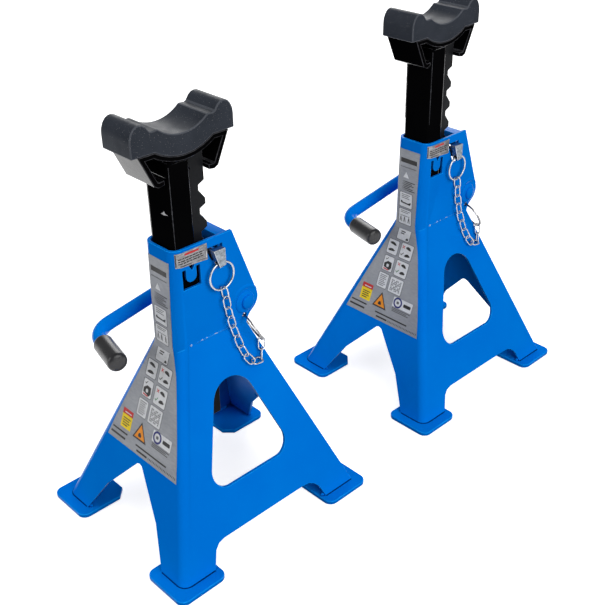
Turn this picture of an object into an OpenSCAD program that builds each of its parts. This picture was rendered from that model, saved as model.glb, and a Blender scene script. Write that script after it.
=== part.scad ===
// Pair of ratchet axle stands: folded four-legged frames with toothed lifting posts.
// Frame: X left to right, Y front to back, Z up, millimetres.
// The origin is on the floor, midway between the two stands.

/* [Frame] */
// thickness of the pressed sheet
sheet = 2.5; // [2:0.1:4]
// outside width of the upright column
column_w = 33.8; // [30:0.1:60]
// distance from the stand's centre to the column's front face
column_front = 28.7; // [24:0.1:40]
// height of the column's top rim
column_h = 233.6; // [200:0.1:320]
// height of the crease where the legs start to flare
crease_h = 156.2; // [120:0.1:200]
// forward lean of the column's front, in degrees
column_lean = 1.4; // [0:0.1:4]
// half width over the legs at the foot plates
leg_x = 76.1; // [60:0.1:120]
// distance from centre to the legs' front edge at the foot plates
leg_front = 86.9; // [70:0.1:130]
// distance from centre to the legs' rear edge at the foot plates
leg_rear = 87.3; // [70:0.1:130]
// outside radius of the folded corners
bend_r = 8; // [5:0.5:12]

/* [Foot plates] */
// width of the whole foot print
base_w = 170.8; // [140:0.1:260]
// depth of the whole foot print
base_d = 192; // [150:0.1:280]
// width of one foot plate
foot_w = 43.9; // [35:0.1:60]
// depth of one foot plate
foot_d = 42.8; // [35:0.1:60]
// thickness of a foot plate
foot_t = 3.6; // [3:0.1:6]
// radius of a foot plate's outer corners
foot_r = 7; // [3:0.5:12]

/* [Post] */
// width of the post tube
post_w = 28; // [20:0.1:40]
// depth of the post tube
post_d = 18; // [14:0.1:30]
// distance from centre to the post tube's front face
post_front = 23.6; // [20:0.1:30]
// wall of the post tube
post_wall = 2.5; // [2:0.1:4]
// height of the post tube's lower end
post_low = 67.5; // [60:0.5:90]
// height of the post tube's upper end
post_top = 296; // [280:0.5:330]
// distance between rack teeth
pitch = 17.5; // [12:0.1:25]
// number of notches in the rack
notches = 9; // [5:1:12]
// height of the uppermost notch floor
notch_top = 269.7; // [250:0.1:290]
// distance from centre to the tooth tips
tooth_tip = 8.5; // [6:0.1:12]
// distance from centre to the notch floors
tooth_root = 3.2; // [1:0.1:6]
// width of the rack bar
rack_w = 19; // [12:0.5:26]

/* [Head] */
// width of saddle and pad, left to right
head_w = 31.6; // [26:0.1:45]
// middle of the head, front to back
head_y = -9.8; // [-15:0.1:0]
// radius of the cradle curve under the pad
cradle_r = 41.4; // [35:0.1:60]
// lowest height of the pad's underside
pad_low = 299.6; // [280:0.1:320]
// thickness of the saddle plate
saddle_t = 3.5; // [3:0.1:6]

/* [Lever and lock] */
// pivot distance behind centre
pivot_y = 34; // [28:0.1:42]
// pivot height
pivot_z = 171; // [150:0.1:190]
// diameter of the lever rod
rod_d = 11; // [8:0.1:14]
// radius of the lever rod's bends
rod_bend = 17; // [12:0.5:30]
// outside diameter of the rubber grip
grip_d = 15; // [13:0.1:20]
// width of the pawl
pawl_w = 16; // [10:0.5:24]
// radial running clearance of the rod in the ears
run_gap = 0.06; // [0.02:0.01:0.1]
// diameter of the wire of the large key ring
ring_wire = 1.7; // [1.2:0.1:2.5]
// mean radius of the large key ring
ring_r = 10.8; // [8:0.1:15]
// diameter of the chain wire
link_wire = 1.1; // [0.8:0.1:2]

/* [Pair] */
// distance between the stands, front to back
pair_y = 270; // [210:1:600]
// sideways offset between the stands
pair_x = 3.5; // [0:0.5:50]
// notches by which the rear stand's post is raised further
rear_raise = 1; // [0:1:4]

/* [Hidden] */
$fn = 48;
col_x = column_w / 2;
drop = crease_h - foot_t;
side_lean = atan((leg_x - col_x) / drop);
front_lean = atan((leg_front - column_front) / drop);
// lower end of the column walls, hidden in the legs
column_foot = 144;
// height where the column's leaning front meets the legs' front
front_crease = crease_h - (column_h - crease_h) * tan(column_lean) / (tan(front_lean) - tan(column_lean));
neck = [32.5, 153.9];
rear_lean = atan((leg_rear - neck[0]) / (neck[1] - foot_t));
ear_mid = [33.4, 172.4];
ear_r = 11.9;
ear_low = [37, 160.2];
ring_hole = [31.5, 160];
rod_r = rod_d / 2;
post_back = -post_front + post_d;
pad_flat = 307;
// half outline of the rubber pad in (Y, Z) from the bottom up over the horn
pad_edge = [
    [25, pad_low - 1], [25, pad_flat], [42, pad_flat], [42, 317], [41.6, 320.5], [40.2, 323.9], [38.2, 326.4],
    [36, 327.7], [33.5, 328], [31, 327.3], [28.8, 325.8], [27.2, 323.6], [26.2, 322.2], [24.6, 321.6], [20, 322]
];
cradle_z = pad_low + cradle_r;
// folded corner: face normals, edge direction and the bend's centre line
n_side = [cos(side_lean), 0, sin(side_lean)];
n_front = [0, -cos(front_lean), sin(front_lean)];
edge_dir = unit([leg_x - col_x, column_front - leg_front, -drop]);
out_dir = unit(n_side + n_front);
half_turn = acos(n_side * n_front) / 2;
// lever rod corner points
rod_end = [20, pivot_y, pivot_z];
rod_side = [-50, pivot_y, pivot_z];
rod_front = [-50, -57.5, 155.1];
rod_tip = [-4.5, -68.2, 154.8];
grip_from = rod_front + 17.8 * unit(rod_tip - rod_front);
// rings and chain
ring_mid = [20.6, 9.6, 203.6];
split_u = unit([0.46, 0.30, -0.84]);
split_w = unit(cross(split_u, cross([0.86, -0.4, 0.32], split_u)));
split_r = 12;
split_mid = [15.65, ring_hole[0], ring_hole[1]] + split_r * split_u;
// joints between chain links, from the key ring down in a bight to the split ring
chain_joints = [
    [20.6, 10.7, 193.8], [20.7, 11.9, 184.8], [20.9, 13, 176], [21.1, 14.4, 167.3], [21.9, 16, 158.9],
    [23.7, 17.4, 150.5], [26.5, 18.5, 142.6], [29.4, 20.5, 134.9], [32.1, 24.7, 128.2], [31.7, 33.3, 126.6],
    [28.9, 36.3, 133.5], [26.3, 38.8, 140.8]
];
chain_rolls = [72, 6, 71, 2, 67, 0, 62, 10, 110, 50, 166];

function unit(v) = v / norm(v);

// direction angle of the outside tangent points of two circles on the side given by s
function tangent_n(c1, r1, c2, r2, s) = atan2(c2[1] - c1[1], c2[0] - c1[0]) + s * acos((r1 - r2) / norm(c2 - c1));
function on_circle(c, r, a) = c + r * [cos(a), sin(a)];

// direction square to d that a round bar along d is turned to
function side_of(d) = unit(cross(d, abs(d[2]) > 0.8 ? [1, 0, 0] : [0, 0, 1]));

// places children with their X and Z axes along the given unit vectors
module place(o, ex, ez) {
    ey = cross(ez, ex);
    translate(o)
        rotate([atan2(ey[2], ez[2]), -asin(ex[2]), atan2(ex[1], ex[0])])
            children();
}

// extrudes a (Y, Z) drawing along X between two positions
module along_x(x0, x1) {
    translate([x0, 0, 0])
        rotate([90, 0, 90])
            linear_extrude(x1 - x0)
                children();
}

// extrudes an (X, Z) drawing along Y between two positions
module along_y(y0, y1) {
    translate([0, y1, 0])
        rotate([90, 0, 0])
            linear_extrude(y1 - y0)
                children();
}

module round_bar(a, b, r) {
    place(a, side_of(unit(b - a)), unit(b - a))
        cylinder(h = norm(b - a), r = r);
}

// one bend of a round bar at corner v, from direction a to direction b
module round_bend(v, a, b, r, bend) {
    turn = acos(a * b);
    mid = v + unit(b - a) * bend / cos(turn / 2);
    start = v - a * bend * tan(turn / 2);
    place(mid, unit(start - mid), unit(cross(a, b)))
        rotate_extrude(angle = turn)
            translate([bend, 0])
                circle(r);
}

module wire_ring(mean_r, wire_r) {
    rotate_extrude()
        translate([mean_r, 0])
            circle(wire_r);
}

// moves a piece of the rear stand, and of the front stand, to its place in the pair
module at_front() {
    translate([pair_x / 2, -pair_y / 2, 0])
        children();
}
module at_back() {
    translate([-pair_x / 2, pair_y / 2, 0])
        children();
}
module raised() {
    translate([0, 0, rear_raise * pitch])
        children();
}

// leg hood as a solid with rounded corner edges
module hood() {
    hood_cut(0, bend_r * cos(half_turn));
    intersection() {
        hood_room();
        for (s = [0, 1])
            mirror([s, 0, 0])
                corner_frame()
                    translate([-bend_r / cos(half_turn), 0, -60])
                        cylinder(h = 320, r = bend_r);
    }
}

// space under the hood, with flat corner edges
module hood_inside() {
    hood_cut(sheet, bend_r - sheet);
}

// leaning faces moved inwards by off, with both corner edges cut away flat
module hood_cut(off, reach) {
    difference() {
        hood_faces(off);
        for (s = [0, 1])
            mirror([s, 0, 0])
                corner_frame()
                    translate([-bend_r / cos(half_turn) + reach, -20, -60])
                        cube([30, 40, 320]);
    }
}

module hood_room() {
    translate([-120, -120, -1])
        cube([240, 240, crease_h + 1]);
}

module hood_faces(off) {
    difference() {
        hood_room();
        for (s = [0, 1])
            mirror([s, 0, 0])
                translate([col_x, 0, crease_h])
                    rotate([0, -side_lean, 0])
                        translate([-off, -200, -300])
                            cube([200, 400, 400]);
        translate([0, -column_front, crease_h])
            rotate([-front_lean, 0, 0])
                translate([-200, -200 + off, -300])
                    cube([400, 200, 400]);
    }
}

// frame on the right front corner edge: Z down the edge, X outwards
module corner_frame() {
    place([col_x, -column_front, crease_h], out_dir, edge_dir)
        children();
}

// column as a solid with rounded front corners and a leaning front, moved inwards by off
module column(off) {
    r = bend_r - off;
    x = col_x - off;
    foot = column_foot - off;
    intersection() {
        translate([0, -column_front + off, column_h])
            rotate([-column_lean, 0, 0])
                translate([0, 0, -120])
                    linear_extrude(140) {
                        translate([-x, r])
                            square([2 * x, 90]);
                        translate([-x + r, 0])
                            square([2 * (x - r), 90]);
                        for (s = [-1, 1])
                            translate([s * (x - r), r])
                                circle(r);
                    }
        translate([-60, -60, foot])
            cube([120, 160, column_h + off - foot]);
    }
}

// room the folded sheet keeps to in side view: column, ear and rear leg edge
module side_block() {
    a = tangent_n([23.9, column_h], 0, ear_mid, ear_r, 1);
    b = tangent_n(ear_mid, ear_r, ear_low, 0, 1);
    along_x(-120, 120)
        polygon([
            [-110, foot_t], [-110, column_h], [23.9, column_h],
            on_circle(ear_mid, ear_r, a), ear_mid, on_circle(ear_mid, ear_r, b),
            ear_low, neck, [leg_rear, foot_t]
        ]);
    translate([-120, ear_mid[0], ear_mid[1]])
        rotate([0, 90, 0])
            cylinder(h = 240, r = ear_r);
}

// inverted V cut out of the front and rear panels
module front_gap() {
    polygon([[-49.4, foot_t - 1], [-31.4, 32.3], [-3, 62.4], [0, 63.4], [3, 62.4], [31.4, 32.3], [49.4, foot_t - 1]]);
}

// gap under the side webs
module side_gap() {
    polygon([
        [-58, foot_t - 2], [-51.5, 16.3], [-47.5, 19.8], [-42, 21],
        [39, 21], [45, 20.4], [49.5, 18], [53.4, 14.2], [58.5, foot_t - 2]
    ]);
}

// side window: two lower corner circles and a large arch, with straight edges just inside them
module window() {
    lap = 0.05;
    low_r = 12;
    top_r = 19.5;
    left = [-23.5, 64.8];
    right = [23.5, 64.8];
    top = [2, 104.5];
    la = tangent_n(left, low_r, top, top_r, 1);
    ra = tangent_n(right, low_r, top, top_r, -1);
    polygon([
        left - [0, low_r - lap], on_circle(left, low_r - lap, la), on_circle(top, top_r - lap, la),
        on_circle(top, top_r - lap, ra), on_circle(right, low_r - lap, ra), right - [0, low_r - lap]
    ]);
    translate(left)
        circle(low_r);
    translate(right)
        circle(low_r);
    translate(top)
        circle(top_r);
}

// window that leaves a bent tongue standing in it
module tongue_slot() {
    difference() {
        translate([-21.5, 202])
            square([15.5, 15.4]);
        translate([-18.4, 211.2])
            square([9.2, 7]);
        translate([-13.8, 211.2])
            circle(4.6);
    }
    polygon([[-15.8, 220.2], [-9.8, 220.2], [-12.9, 215.2]]);
}

module key_slot() {
    polygon([[1.2, 226.7], [14.8, 226.7], [14.8, 207.4], [8.6, 207.4], [1.2, 224]]);
}

// folded front and sides with ears and legs in one piece
module shell() {
    color([0.02, 0.42, 0.80])
        difference() {
            intersection() {
                difference() {
                    union() {
                        hood();
                        column(0);
                    }
                    hood_inside();
                    column(sheet);
                }
                side_block();
            }
            along_y(-110, -15)
                front_gap();
            along_x(-120, 120)
                side_gap();
            along_x(-120, 120)
                window();
            along_x(-20, 20)
                tongue_slot();
            along_x(-20, 20)
                key_slot();
            translate([-20, pivot_y, pivot_z])
                rotate([0, 90, 0])
                    cylinder(h = 40, r = rod_r + run_gap);
            translate([10, ring_hole[0], ring_hole[1]])
                rotate([0, 90, 0])
                    cylinder(h = 10, r = 2);
        }
}

// plate between the rear legs
module rear_plate() {
    color([0.02, 0.40, 0.76])
        difference() {
            intersection() {
                hood_faces(sheet + 0.05);
                translate([0, neck[0] - 1, neck[1]])
                    rotate([rear_lean, 0, 0])
                        translate([-100, -sheet, -200])
                            cube([200, sheet, 196]);
                translate([-120, 0, foot_t])
                    cube([240, 120, 146]);
            }
            along_y(20, 110)
                front_gap();
        }
}

// one foot plate in the corner given by the signs
module foot(sx, sy) {
    color([0.02, 0.38, 0.74])
        translate([sx * base_w / 2, sy * base_d / 2, 0])
            mirror([sx > 0 ? 1 : 0, 0, 0])
                mirror([0, sy > 0 ? 1 : 0, 0])
                    linear_extrude(foot_t)
                        foot_outline();
}

// foot plate outline with its outermost corner at the origin
module foot_outline() {
    difference() {
        square([foot_w, foot_d]);
        for (c = [[0, 0, 0], [foot_w, 0, 90], [0, foot_d, -90]])
            translate([c[0], c[1]])
                rotate(c[2])
                    difference() {
                        translate([-1, -1])
                            square(foot_r + 1);
                        translate([foot_r, foot_r])
                            circle(foot_r);
                    }
        translate([foot_w, foot_d])
            rotate(45)
                square(11, center = true);
    }
}

// bent plate that backs the rack at the top of the column
module top_guide() {
    w = column_w - 2 * sheet - 0.2;
    color([0.02, 0.42, 0.80])
        along_x(-w / 2, w / 2)
            difference() {
                translate([12.5, 221])
                    square([9.5, 11.5]);
                translate([15.5, 220])
                    square([9.5, 9.5]);
            }
}

// flat plate that backs the rack at the bottom of the column
module low_guide() {
    w = column_w - 2 * sheet - 0.2;
    color([0.02, 0.40, 0.76])
        translate([-w / 2, 9.6, 158])
            cube([w, 3, 12]);
}

// rectangular lifting tube
module post() {
    color([0.05, 0.05, 0.06])
        translate([0, 0, post_low])
            linear_extrude(post_top - post_low)
                difference() {
                    tube_outline(0, 3);
                    tube_outline(post_wall, 1);
                }
}

module tube_outline(off, r) {
    w = post_w - 2 * off;
    d = post_d - 2 * off;
    translate([-w / 2, -post_front + off + r])
        square([w, d - 2 * r]);
    translate([-w / 2 + r, -post_front + off])
        square([w - 2 * r, d]);
    for (sx = [-1, 1], y = [r, d - r])
        translate([sx * (w / 2 - r), -post_front + off + y])
            circle(r);
}

// toothed bar behind the tube
module rack() {
    depth = tooth_tip - tooth_root;
    color([0.07, 0.07, 0.08])
        along_x(-rack_w / 2, rack_w / 2)
            difference() {
                translate([post_back + 0.05, 80])
                    square([tooth_tip - post_back - 0.05, post_top - 80]);
                for (i = [0 : notches - 1])
                    translate([tooth_root, notch_top - i * pitch])
                        polygon([
                            [0, -1.85], [0, 1.85], [0.35, 2.3], [depth + 0.01, 4.6], [depth + 1, 4.6],
                            [depth + 1, -8.8], [depth + 0.01, -8.8], [0.6, -2.6]
                        ]);
            }
}

// steel head: cradle plate, two sloping wings and the tabs folded back to the post
module saddle() {
    color([0.08, 0.08, 0.09])
        translate([0, head_y, 0])
            union() {
                intersection() {
                    across(cradle_r + saddle_t, head_w);
                    translate([-head_w, -25, 290])
                        cube([2 * head_w, 50, pad_flat - 290.02]);
                    difference() {
                        across(cradle_r + saddle_t + 1, head_w);
                        across(cradle_r + 0.02, head_w + 2);
                    }
                }
                for (s = [0, 1])
                    mirror([0, s, 0])
                        along_x(-head_w / 2, head_w / 2)
                            polygon([
                                [22.4, pad_flat - saddle_t], [23.9, pad_flat - 0.02], [37, pad_flat - 0.02],
                                [26.6, 284.4], [23, 282.6], [18.4, 283.4], [18.4, 286.8], [22.6, 286.4],
                                [23.6, 287], [31.6, pad_flat - saddle_t]
                            ]);
            }
}

// cylinder lying left to right about the centre of the cradle curve
module across(r, w) {
    translate([-w / 2, 0, cradle_z])
        rotate([0, 90, 0])
            cylinder(h = w, r = r, $fn = 120);
}

// rubber block with a groove for the axle
module pad() {
    groove_r = 30.7;
    color([0.20, 0.21, 0.24])
        translate([0, head_y, 0])
            difference() {
                along_x(-head_w / 2, head_w / 2)
                    polygon(concat(pad_edge, [for (i = [len(pad_edge) - 1 : -1 : 0]) [-pad_edge[i][0], pad_edge[i][1]]]));
                translate([-head_w, 0, 314.6 + groove_r])
                    rotate([0, 90, 0])
                        cylinder(h = 2 * head_w, r = groove_r, $fn = 120);
                difference() {
                    translate([-head_w, -25.5, 290])
                        cube([2 * head_w, 51, pad_flat - 290]);
                    across(cradle_r, 3 * head_w);
                }
            }
}

// bent lever rod: pivot shaft through the ears, arm and handle
module lever() {
    a = unit(rod_side - rod_end);
    b = unit(rod_front - rod_side);
    c = unit(rod_tip - rod_front);
    t1 = rod_bend * tan(acos(a * b) / 2);
    t2 = rod_bend * tan(acos(b * c) / 2);
    lap = 0.6;
    color([0.02, 0.42, 0.80]) {
        round_bar(rod_end, rod_side - a * (t1 - lap), rod_r);
        round_bend(rod_side, a, b, rod_r + 0.03, rod_bend);
        round_bar(rod_side + b * (t1 - lap), rod_front - b * (t2 - lap), rod_r);
        round_bend(rod_front, b, c, rod_r + 0.03, rod_bend);
        round_bar(rod_front + c * (t2 - lap), rod_tip, rod_r);
    }
}

// rubber sleeve on the handle, closed at its end
module grip() {
    c = unit(rod_tip - grip_from);
    color([0.10, 0.10, 0.11])
        difference() {
            union() {
                round_bar(grip_from, rod_tip + c * 1, grip_d / 2);
                round_bar(grip_from, rod_tip + c * 2.2, grip_d / 2 - 1.2);
            }
            round_bar(grip_from - c, rod_tip + c * 0.05, rod_r + 0.05);
        }
}

// strut from the rod up to the rack
module pawl() {
    r = 10.5;
    mid = [pivot_y, pivot_z];
    up = [9.6, 202.6];
    low = [9.6, 191.2];
    ua = tangent_n(up, 0, mid, r, 1);
    la = tangent_n(low, 0, mid, r, -1);
    color([0.12, 0.12, 0.13])
        difference() {
            union() {
                along_x(-pawl_w / 2, pawl_w / 2)
                    polygon([[3.8, 198.6], [3.8, 200.2], up, on_circle(mid, r, ua), mid, on_circle(mid, r, la), low]);
                along_x(-pawl_w / 2, pawl_w / 2)
                    translate(mid)
                        circle(r);
            }
            translate([-20, pivot_y, pivot_z])
                rotate([0, 90, 0])
                    cylinder(h = 40, r = rod_r + 0.02);
        }
}

// wedge bar pushed through the column under a tooth, with a larger head outside
module key() {
    color([0.72, 0.73, 0.75])
        difference() {
            union() {
                along_x(-20.5, 18)
                    polygon([[5.6, 220.3], [12.3, 220.3], [12.3, 212.8], [8.7, 212.8]]);
                along_x(17.5, 23.2)
                    polygon([[2.1, 226.2], [12.4, 225.8], [12.4, 212.6], [6.8, 211.6]]);
            }
            translate([ring_mid[0], 0, ring_mid[2] + ring_r + 0.2])
                rotate([-90, 0, 0])
                    cylinder(h = 30, r = 1.9);
        }
}

module key_ring() {
    color([0.75, 0.76, 0.78])
        place(ring_mid, [0, 1, 0], [1, 0, 0])
            wire_ring(ring_r, ring_wire / 2);
}

// oval links, each turned against its neighbour
module chain() {
    color([0.74, 0.75, 0.77])
        for (i = [0 : len(chain_joints) - 2])
            link(chain_joints[i], chain_joints[i + 1], chain_rolls[i]);
}

// one link between two joints, rolled about its length
module link(a, b, roll) {
    r = 2.7;
    along = unit(b - a);
    half = norm(b - a) / 2 + link_wire / 2 + 0.3 - r;
    place((a + b) / 2, unit(cross(along, [1, 0, 0])), along)
        rotate([0, 0, roll])
            rotate([90, 0, 0])
                for (s = [0, 1])
                    mirror([0, s, 0]) {
                        translate([0, half, 0])
                            rotate_extrude(angle = 180)
                                translate([r, 0])
                                    circle(link_wire / 2);
                        for (x = [-r, r])
                            translate([x, 0, 0])
                                rotate([-90, 0, 0])
                                    cylinder(h = half, r = link_wire / 2);
                    }
}

module split_ring() {
    color([0.70, 0.71, 0.72])
        place(split_mid, split_u, unit(cross(split_u, split_w)))
            wire_ring(split_r, 0.8);
}

// thin plate on the column front, bent at the crease and widening down the front panel
module label() {
    color([0.60, 0.62, 0.65])
        intersection() {
            along_x(-60, 60)
                polygon(concat(front_line(0.05), [for (i = [2 : -1 : 0]) front_line(0.35)[i]]));
            along_y(-100, 0)
                polygon([
                    [-8.7, 224.4], [8.7, 224.4], [8.7, crease_h - 0.4],
                    [42.9, 68.2], [-42.9, 68.2], [-8.7, crease_h - 0.4]
                ]);
        }
}

// side view of the frame's front surface moved outwards by off
function front_line(off) = [
    [column_y(230) - off, 230],
    [column_y(front_crease) - off, front_crease + off * tan((front_lean - column_lean) / 2)],
    [-column_front - (crease_h - 60) * tan(front_lean) - off / cos(front_lean), 60]
];

// Y of the column's front face at a height
function column_y(z) = -column_front - (column_h - z) * tan(column_lean);

module sticker() {
    color([0.68, 0.69, 0.71])
        along_x(col_x + 0.05, col_x + 0.35)
            polygon([[-20, 221.4], [-20, 231.6], [-0.6, 231.6], [-0.6, 221.4]]);
}

module front_shell() { at_front() shell(); }
module front_rear_plate() { at_front() rear_plate(); }
module front_foot_fl() { at_front() foot(-1, -1); }
module front_foot_fr() { at_front() foot(1, -1); }
module front_foot_rl() { at_front() foot(-1, 1); }
module front_foot_rr() { at_front() foot(1, 1); }
module front_top_guide() { at_front() top_guide(); }
module front_low_guide() { at_front() low_guide(); }
module front_post() { at_front() post(); }
module front_rack() { at_front() rack(); }
module front_saddle() { at_front() saddle(); }
module front_pad() { at_front() pad(); }
module front_lever() { at_front() lever(); }
module front_grip() { at_front() grip(); }
module front_pawl() { at_front() pawl(); }
module front_key() { at_front() key(); }
module front_key_ring() { at_front() key_ring(); }
module front_chain() { at_front() chain(); }
module front_split_ring() { at_front() split_ring(); }
module front_label() { at_front() label(); }
module front_sticker() { at_front() sticker(); }
module back_shell() { at_back() shell(); }
module back_rear_plate() { at_back() rear_plate(); }
module back_foot_fl() { at_back() foot(-1, -1); }
module back_foot_fr() { at_back() foot(1, -1); }
module back_foot_rl() { at_back() foot(-1, 1); }
module back_foot_rr() { at_back() foot(1, 1); }
module back_top_guide() { at_back() top_guide(); }
module back_low_guide() { at_back() low_guide(); }
module back_post() { at_back() raised() post(); }
module back_rack() { at_back() raised() rack(); }
module back_saddle() { at_back() raised() saddle(); }
module back_pad() { at_back() raised() pad(); }
module back_lever() { at_back() lever(); }
module back_grip() { at_back() grip(); }
module back_pawl() { at_back() pawl(); }
module back_key() { at_back() key(); }
module back_key_ring() { at_back() key_ring(); }
module back_chain() { at_back() chain(); }
module back_split_ring() { at_back() split_ring(); }
module back_label() { at_back() label(); }
module back_sticker() { at_back() sticker(); }

front_shell();
front_rear_plate();
front_foot_fl();
front_foot_fr();
front_foot_rl();
front_foot_rr();
front_top_guide();
front_low_guide();
front_post();
front_rack();
front_saddle();
front_pad();
front_lever();
front_grip();
front_pawl();
front_key();
front_key_ring();
front_chain();
front_split_ring();
front_label();
front_sticker();
back_shell();
back_rear_plate();
back_foot_fl();
back_foot_fr();
back_foot_rl();
back_foot_rr();
back_top_guide();
back_low_guide();
back_post();
back_rack();
back_saddle();
back_pad();
back_lever();
back_grip();
back_pawl();
back_key();
back_key_ring();
back_chain();
back_split_ring();
back_label();
back_sticker();
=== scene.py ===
import math

import bmesh
import bpy
import numpy as np
from mathutils import Matrix, Vector, noise


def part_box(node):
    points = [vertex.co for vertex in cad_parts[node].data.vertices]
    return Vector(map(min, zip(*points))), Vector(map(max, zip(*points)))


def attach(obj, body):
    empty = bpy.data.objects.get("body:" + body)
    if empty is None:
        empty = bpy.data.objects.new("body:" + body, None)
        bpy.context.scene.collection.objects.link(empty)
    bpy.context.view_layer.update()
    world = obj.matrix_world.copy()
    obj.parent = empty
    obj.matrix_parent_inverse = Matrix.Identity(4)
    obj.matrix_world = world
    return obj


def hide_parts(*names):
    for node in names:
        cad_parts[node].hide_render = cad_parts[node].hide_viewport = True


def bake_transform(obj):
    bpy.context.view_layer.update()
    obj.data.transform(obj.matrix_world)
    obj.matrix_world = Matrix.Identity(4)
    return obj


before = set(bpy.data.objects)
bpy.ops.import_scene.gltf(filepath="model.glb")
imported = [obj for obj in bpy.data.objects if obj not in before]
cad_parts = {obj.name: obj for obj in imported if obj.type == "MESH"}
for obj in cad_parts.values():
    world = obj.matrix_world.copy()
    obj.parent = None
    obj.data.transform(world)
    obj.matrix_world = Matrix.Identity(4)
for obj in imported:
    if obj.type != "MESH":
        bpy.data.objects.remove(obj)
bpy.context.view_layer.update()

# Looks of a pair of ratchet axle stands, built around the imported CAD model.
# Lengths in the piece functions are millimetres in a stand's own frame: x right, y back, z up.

MM = 0.001


def unit(v):
    v = np.asarray(v, float)
    return v / np.linalg.norm(v)


# ---------------------------------------------------------------- numbers shared with the CAD, in mm

# column: half width over the sides, front, height, fold, outer bend radius
COLUMN_X = 16.9
COLUMN_FRONT = 28.7
COLUMN_TOP = 233.6
CREASE = 156.2
BEND_R = 8.0
COLUMN_LEAN = math.radians(1.4)
# legs at the top of the foot plates, and the neck where the rear slope starts
LEG_X = 76.1
LEG_FRONT = 86.9
LEG_REAR = 87.3
FOOT_T = 3.6
NECK = (32.5, 153.9)
SIDE_LEAN = math.atan((LEG_X - COLUMN_X) / (CREASE - FOOT_T))
FRONT_LEAN = math.atan((LEG_FRONT - COLUMN_FRONT) / (CREASE - FOOT_T))
REAR_RUN = (LEG_REAR - NECK[0]) / (NECK[1] - FOOT_T)
FRONT_CREASE = CREASE - (COLUMN_TOP - CREASE) * math.tan(COLUMN_LEAN) / (
    math.tan(FRONT_LEAN) - math.tan(COLUMN_LEAN)
)
# lifting tube: half width, front, corner radius and top of the front stand's one
POST_X = 14.0
POST_FRONT = -23.6
POST_ROUND = 3.0
POST_TOP = 296.0
# lever rod round the pivot (y, z)
PIVOT = (34.0, 171.0)
ROD_R = 5.5
ROD_BEND = 17.0
ROD = [(20, 34, 171), (-50, 34, 171), (-50, -57.5, 155.1), (-4.5, -68.2, 154.8)]
# key ring, chain and split ring
RING_MID = (20.6, 9.6, 203.6)
RING_R = 10.8
RING_WIRE = 0.85
CHAIN_JOINTS = [
    (20.6, 10.7, 193.8), (20.7, 11.9, 184.8), (20.9, 13, 176), (21.1, 14.4, 167.3), (21.9, 16, 158.9),
    (23.7, 17.4, 150.5), (26.5, 18.5, 142.6), (29.4, 20.5, 134.9), (32.1, 24.7, 128.2), (31.7, 33.3, 126.6),
    (28.9, 36.3, 133.5), (26.3, 38.8, 140.8),
]
CHAIN_ROLLS = [72, 6, 71, 2, 67, 0, 62, 10, 110, 50, 166]
LINK_WIRE = 0.55
LINK_R = 2.7
SPLIT_HOLE = np.array([15.65, 31.5, 160.0])
SPLIT_U = unit([0.46, 0.30, -0.84])
SPLIT_W = np.array([0.86, -0.4, 0.32])
SPLIT_R = 12.0
# the grey label's edges: height, left and right
LABEL_EDGES = [
    (224.4, -12.0, 11.7), (212, -12.3, 11.2), (200, -12.5, 10.8), (190, -12.6, 10.4), (180, -12.6, 10.2),
    (170, -12.6, 10.0), (162, -12.6, 9.7), (156.5, -12.8, 9.6), (151.5, -13.3, 10.2), (149, -14.0, 11.3),
    (143, -15.9, 14.4), (136, -18.0, 18.0), (126, -21.6, 21.8), (116, -25.1, 25.4), (105, -29.0, 29.3),
    (90, -34.2, 34.6), (76, -38.9, 39.2), (62.4, -42.8, 43.2),
]
# the back stand's label is stuck on a little askew: its shift at the top
LABEL_SHIFT = {"front": 0.0, "back": -1.6}

# face layer that marks the rounded edges, which the materials paint lighter: painted highlight on enamel and
# metal
EDGE_LAYER = "edge"


# ---------------------------------------------------------------- materials


def tone(r, g, b):
    """Display colour 0 to 255 as scene-linear RGBA."""
    return tuple(
        (c / 255 / 12.92) if c <= 10 else ((c / 255 + 0.055) / 1.055) ** 2.4
        for c in (r, g, b)
    ) + (1.0,)


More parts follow.
